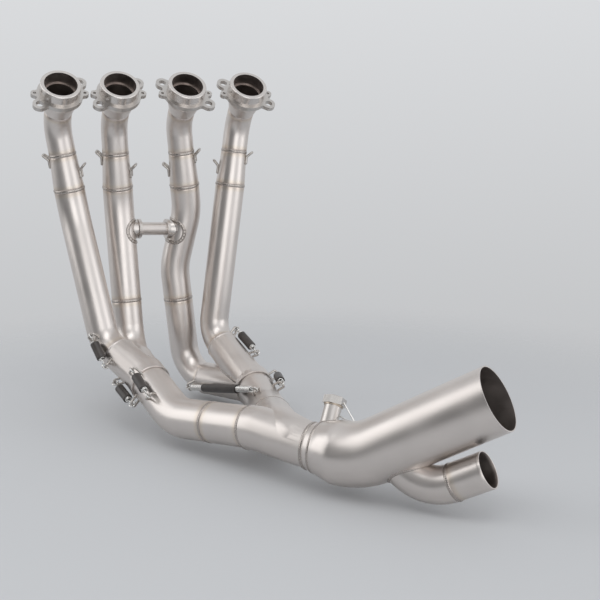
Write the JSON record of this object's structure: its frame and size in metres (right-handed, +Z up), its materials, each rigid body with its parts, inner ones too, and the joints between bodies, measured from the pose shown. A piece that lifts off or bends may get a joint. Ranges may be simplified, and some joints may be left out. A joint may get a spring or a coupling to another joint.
{
  "type": "motorcycle exhaust header",
  "caption": "Tubular exhaust header that gathers the pipes of an inline engine through paired collectors into one wide outlet, with a small bypass pipe, wired plug and pull springs.",
  "frame": {"origin": "centre of the mouth of the first inlet collar, on its axis", "axes": "+X to the right of the bike along the row of inlets, +Y forward, +Z up; the inlets face back and up"},
  "size_m": [0.3712, 0.5565, 0.4172],
  "materials": {
    "pipe": "satin titanium tube",
    "collector": "satin titanium sheet",
    "collar": "turned titanium, fine lathe lines",
    "flange": "satin titanium plate",
    "turned": "turned titanium",
    "hook": "bent titanium wire",
    "spring": "bright spring steel",
    "sleeve": "dark silicone sleeve",
    "plug": "bright steel screw plug",
    "washer": "soft sealing washer",
    "wire": "thin lock wire"
  },
  "bodies": {
    "root": {"bypass_elbow": "pipe", "bypass_pipe": "pipe", "collector_hooks": "hook", "collector_left": "collector", "collector_right": "collector", "collector_springs": "spring", "crossover_stub_2": "turned", "crossover_stub_3": "turned", "crossover_tube": "pipe", "final_collector": "collector", "inlet_collar_1": "collar", "inlet_collar_2": "collar", "inlet_collar_3": "collar", "inlet_collar_4": "collar", "inlet_flange_1": "flange", "inlet_flange_2": "flange", "inlet_flange_3": "flange", "inlet_flange_4": "flange", "outlet_pipe": "pipe", "plug_washer": "washer", "plug_wire": "wire", "primary_cone_1": "pipe", "primary_cone_2": "pipe", "primary_cone_3": "pipe", "primary_cone_4": "pipe", "primary_hooks": "hook", "primary_lower_1": "pipe", "primary_lower_2": "pipe", "primary_lower_3": "pipe", "primary_lower_4": "pipe", "primary_mid_2": "pipe", "primary_mid_3": "pipe", "primary_upper_1": "pipe", "primary_upper_2": "pipe", "primary_upper_3": "pipe", "primary_upper_4": "pipe", "secondary_left_bend": "pipe", "secondary_left_straight": "pipe", "secondary_right": "pipe", "sensor_boss": "turned", "sensor_plug": "plug", "spring_sleeves": "sleeve"}
  },
  "joints": []
}
